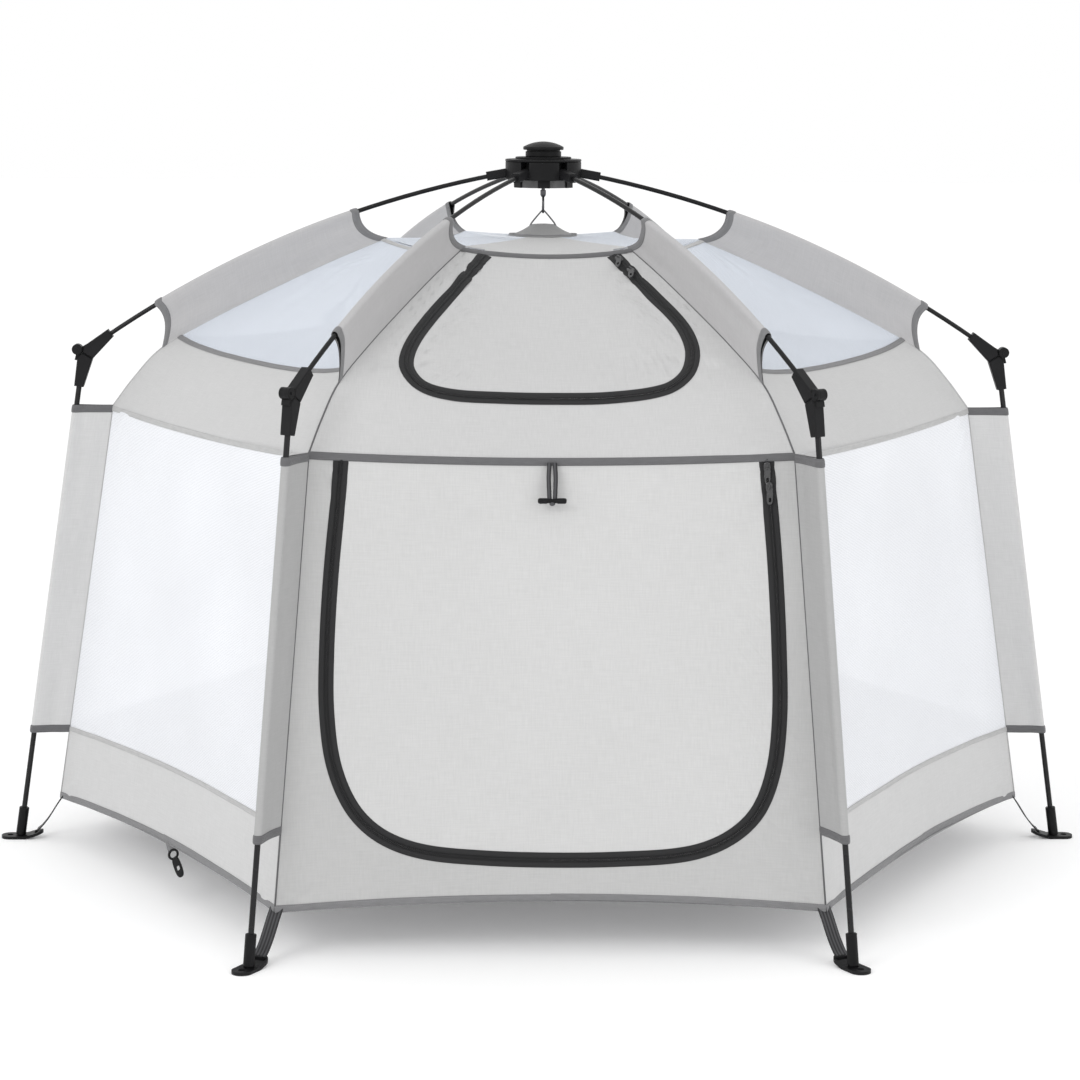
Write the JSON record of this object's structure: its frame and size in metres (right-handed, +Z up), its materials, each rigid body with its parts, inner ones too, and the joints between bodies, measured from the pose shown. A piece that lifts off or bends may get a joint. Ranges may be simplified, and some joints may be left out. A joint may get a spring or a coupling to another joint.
{
  "type": "pop-up play tent",
  "caption": "Hexagonal pop-up play tent: hinged arms and legs on an umbrella hub carry a sewn body with mesh sides, zipped door and roof window.",
  "frame": {"origin": "on the ground, below the centre of the hub", "axes": "+Z up, -Y out through the door, +X along a corner-to-corner line of the hexagon"},
  "size_m": [1.864, 1.6186, 1.2015],
  "materials": {
    "frame_plastic": "moulded black nylon, fine grain",
    "pole_black": "black fibreglass rod, smooth",
    "pin_steel": "plated steel",
    "trim_satin": "satin",
    "canvas_grey": "coated polyester taffeta, plain weave",
    "mesh_white": "fine breathable netting",
    "floor_cloth": "coated oxford cloth",
    "cap_cloth": "heavy patch cloth",
    "zip_black": "zip tape, coil and sliders",
    "webbing_black": "ribbed polypropylene webbing",
    "binding_grey": "woven binding tape"
  },
  "bodies": {
    "hub": {"hub_body": "frame_plastic", "hub_cover": "frame_plastic", "hub_trim_ring": "trim_satin", "hub_pins": "pin_steel", "apex_cap": "cap_cloth"},
    "knob": {"hub_knob": "frame_plastic"},
    "hook": {"snap_hook": "pin_steel"},
    "arm_r": {"arm_pole_r": "pole_black", "arm_ends_r": "frame_plastic", "roof_panel_r": "mesh_white"},
    "arm_br": {"arm_pole_br": "pole_black", "arm_ends_br": "frame_plastic", "roof_panel_br": "mesh_white"},
    "arm_bl": {"arm_pole_bl": "pole_black", "arm_ends_bl": "frame_plastic", "roof_panel_bl": "mesh_white"},
    "arm_l": {"arm_pole_l": "pole_black", "arm_ends_l": "frame_plastic", "roof_panel_l": "mesh_white"},
    "arm_fl": {"arm_pole_fl": "pole_black", "arm_ends_fl": "frame_plastic", "roof_panel_fl": "canvas_grey"},
    "arm_fr": {"arm_pole_fr": "pole_black", "arm_ends_fr": "frame_plastic", "roof_panel_fr": "canvas_grey"},
    "leg_r": {"leg_pole_r": "pole_black", "knee_lower_r": "frame_plastic", "foot_r": "frame_plastic", "wall_panel_r": "mesh_white"},
    "leg_br": {"leg_pole_br": "pole_black", "knee_lower_br": "frame_plastic", "foot_br": "frame_plastic", "wall_panel_br": "mesh_white"},
    "leg_bl": {"leg_pole_bl": "pole_black", "knee_lower_bl": "frame_plastic", "foot_bl": "frame_plastic", "wall_panel_bl": "mesh_white"},
    "leg_l": {"leg_pole_l": "pole_black", "knee_lower_l": "frame_plastic", "foot_l": "frame_plastic", "wall_panel_l": "mesh_white"},
    "leg_fl": {"leg_pole_fl": "pole_black", "knee_lower_fl": "frame_plastic", "foot_fl": "frame_plastic", "wall_panel_fl": "canvas_grey"},
    "leg_fr": {"leg_pole_fr": "pole_black", "knee_lower_fr": "frame_plastic", "foot_fr": "frame_plastic", "wall_panel_fr": "canvas_grey"},
    "floor_r": {"floor_panel_r": "floor_cloth"},
    "floor_br": {"floor_panel_br": "floor_cloth"},
    "floor_bl": {"floor_panel_bl": "floor_cloth"},
    "floor_l": {"floor_panel_l": "floor_cloth"},
    "floor_fl": {"floor_panel_fl": "floor_cloth"},
    "floor_fr": {"floor_panel_fr": "floor_cloth"},
    "door": {"door_flap": "canvas_grey"},
    "window": {"window_flap": "canvas_grey"},
    "door_pulls": {"door_sliders": "zip_black"},
    "window_pulls": {"window_sliders": "zip_black"},
    "toggle": {"toggle_tie": "frame_plastic"}
  },
  "joints": [
    {"name": "hub_fold", "type": "hinge", "parent": "hub", "child": "arm_fl", "pos_m": [-0.028, -0.0485, 1.15], "axis": [0.866, -0.5, 0], "range_deg": [0, 62], "deforming": ["roof_panel_r", "wall_panel_r", "floor_panel_r", "roof_panel_br", "wall_panel_br", "floor_panel_br", "roof_panel_bl", "wall_panel_bl", "floor_panel_bl", "roof_panel_l", "wall_panel_l", "floor_panel_l", "roof_panel_fl", "wall_panel_fl", "floor_panel_fl", "roof_panel_fr", "wall_panel_fr", "floor_panel_fr", "door_flap", "window_flap", "toggle_tie"]},
    {"name": "hub_fold_fr", "type": "hinge", "parent": "hub", "child": "arm_fr", "pos_m": [0.028, -0.0485, 1.15], "axis": [0.866, 0.5, 0], "range_deg": [0, 62]},
    {"name": "hub_fold_r", "type": "hinge", "parent": "hub", "child": "arm_r", "pos_m": [0.056, 0, 1.15], "axis": [0, 1, 0], "range_deg": [0, 62]},
    {"name": "hub_fold_br", "type": "hinge", "parent": "hub", "child": "arm_br", "pos_m": [0.028, 0.0485, 1.15], "axis": [-0.866, 0.5, 0], "range_deg": [0, 62]},
    {"name": "hub_fold_bl", "type": "hinge", "parent": "hub", "child": "arm_bl", "pos_m": [-0.028, 0.0485, 1.15], "axis": [-0.866, -0.5, 0], "range_deg": [0, 62]},
    {"name": "hub_fold_l", "type": "hinge", "parent": "hub", "child": "arm_l", "pos_m": [-0.056, 0, 1.15], "axis": [0, -1, 0], "range_deg": [0, 62]},
    {"name": "knee_fold_fl", "type": "hinge", "parent": "arm_fl", "child": "leg_fl", "pos_m": [-0.393, -0.6807, 0.849], "axis": [-0.866, 0.5, 0], "range_deg": [0, 62]},
    {"name": "knee_fold_fr", "type": "hinge", "parent": "arm_fr", "child": "leg_fr", "pos_m": [0.393, -0.6807, 0.849], "axis": [-0.866, -0.5, 0], "range_deg": [0, 62]},
    {"name": "knee_fold_r", "type": "hinge", "parent": "arm_r", "child": "leg_r", "pos_m": [0.786, 0, 0.849], "axis": [0, -1, 0], "range_deg": [0, 62]},
    {"name": "knee_fold_br", "type": "hinge", "parent": "arm_br", "child": "leg_br", "pos_m": [0.393, 0.6807, 0.849], "axis": [0.866, -0.5, 0], "range_deg": [0, 62]},
    {"name": "knee_fold_bl", "type": "hinge", "parent": "arm_bl", "child": "leg_bl", "pos_m": [-0.393, 0.6807, 0.849], "axis": [0.866, 0.5, 0], "range_deg": [0, 62]},
    {"name": "knee_fold_l", "type": "hinge", "parent": "arm_l", "child": "leg_l", "pos_m": [-0.786, 0, 0.849], "axis": [0, 1, 0], "range_deg": [0, 62]},
    {"name": "floor_fold_fl", "type": "hinge", "parent": "leg_fl", "child": "floor_fl", "pos_m": [-0.4105, -0.71101, 0.0725], "axis": [0.866, -0.5, 0], "range_deg": [0, 81]},
    {"name": "floor_fold_fr", "type": "hinge", "parent": "leg_fr", "child": "floor_fr", "pos_m": [0.4105, -0.71101, 0.0725], "axis": [0.866, 0.5, 0], "range_deg": [0, 81]},
    {"name": "floor_fold_r", "type": "hinge", "parent": "leg_r", "child": "floor_r", "pos_m": [0.821, 0, 0.0725], "axis": [0, 1, 0], "range_deg": [0, 81]},
    {"name": "floor_fold_br", "type": "hinge", "parent": "leg_br", "child": "floor_br", "pos_m": [0.4105, 0.71101, 0.0725], "axis": [-0.866, 0.5, 0], "range_deg": [0, 81]},
    {"name": "floor_fold_bl", "type": "hinge", "parent": "leg_bl", "child": "floor_bl", "pos_m": [-0.4105, 0.71101, 0.0725], "axis": [-0.866, -0.5, 0], "range_deg": [0, 81]},
    {"name": "floor_fold_l", "type": "hinge", "parent": "leg_l", "child": "floor_l", "pos_m": [-0.821, 0, 0.0725], "axis": [0, -1, 0], "range_deg": [0, 81]},
    {"name": "release_knob", "type": "slide", "parent": "hub", "child": "knob", "axis": [0, 0, 1], "range_m": [0, 0.01]},
    {"name": "hook_swivel", "type": "hinge", "parent": "hub", "child": "hook", "pos_m": [0, 0, 1.11], "axis": [0, 0, 1], "range_deg": [-30, 30]},
    {"name": "door_lift", "type": "hinge", "parent": "leg_fl", "child": "door", "pos_m": [0, -0.63117, 0.74864], "axis": [1, 0, 0], "range_deg": [-95, 0]},
    {"name": "toggle_swing", "type": "hinge", "parent": "door", "child": "toggle", "pos_m": [0, -0.63903, 0.7396], "axis": [1, 0, 0], "range_deg": [-60, 0]},
    {"name": "window_lift", "type": "hinge", "parent": "arm_fl", "child": "window", "pos_m": [0, -0.24212, 1.03134], "axis": [1, 0, 0], "range_deg": [-95, 0]},
    {"name": "door_zip", "type": "slide", "parent": "leg_fr", "child": "door_pulls", "axis": [0.0428, -0.1278, -0.9909], "range_m": [0, 0.3]},
    {"name": "window_zip", "type": "slide", "parent": "arm_fr", "child": "window_pulls", "axis": [0.4085, -0.7936, -0.4509], "range_m": [0, 0.2]}
  ],
  "couplings": [
    {"joint": "hub_fold_fr", "follows": "hub_fold", "ratio": 1},
    {"joint": "hub_fold_r", "follows": "hub_fold", "ratio": 1},
    {"joint": "hub_fold_br", "follows": "hub_fold", "ratio": 1},
    {"joint": "hub_fold_bl", "follows": "hub_fold", "ratio": 1},
    {"joint": "hub_fold_l", "follows": "hub_fold", "ratio": 1},
    {"joint": "knee_fold_fl", "follows": "hub_fold", "ratio": 1},
    {"joint": "knee_fold_fr", "follows": "hub_fold", "ratio": 1},
    {"joint": "knee_fold_r", "follows": "hub_fold", "ratio": 1},
    {"joint": "knee_fold_br", "follows": "hub_fold", "ratio": 1},
    {"joint": "knee_fold_bl", "follows": "hub_fold", "ratio": 1},
    {"joint": "knee_fold_l", "follows": "hub_fold", "ratio": 1},
    {"joint": "floor_fold_fl", "follows": "hub_fold", "ratio": 1.3},
    {"joint": "floor_fold_fr", "follows": "hub_fold", "ratio": 1.3},
    {"joint": "floor_fold_r", "follows": "hub_fold", "ratio": 1.3},
    {"joint": "floor_fold_br", "follows": "hub_fold", "ratio": 1.3},
    {"joint": "floor_fold_bl", "follows": "hub_fold", "ratio": 1.3},
    {"joint": "floor_fold_l", "follows": "hub_fold", "ratio": 1.3}
  ]
}
